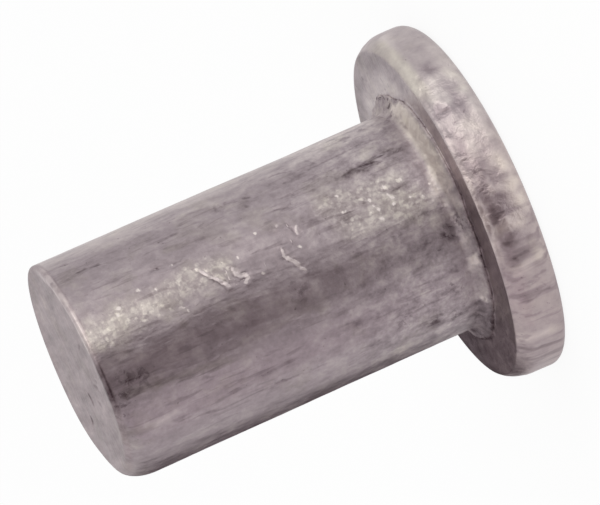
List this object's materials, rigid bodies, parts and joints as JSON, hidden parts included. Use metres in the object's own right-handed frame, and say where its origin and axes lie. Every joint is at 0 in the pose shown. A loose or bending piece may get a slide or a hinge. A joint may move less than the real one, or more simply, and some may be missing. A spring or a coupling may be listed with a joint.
{
  "type": "solid rivet",
  "caption": "Solid flat-head rivet: a plain round shank with a thin crowned head, set by upsetting its free end to clamp sheets or linings.",
  "frame": {"origin": "centre of the head's flat outer face, which the rivet stands on", "axes": "+Z along the rivet's axis, from the head towards the free end; the rollover of the cut end is deepest towards -X"},
  "size_m": [0.0096, 0.0096, 0.0116],
  "materials": {
    "aluminium": "dull, as cold headed, with draw lines along the shank, small dents and scuffs"
  },
  "bodies": {
    "root": {"rivet": "aluminium"}
  },
  "joints": []
}
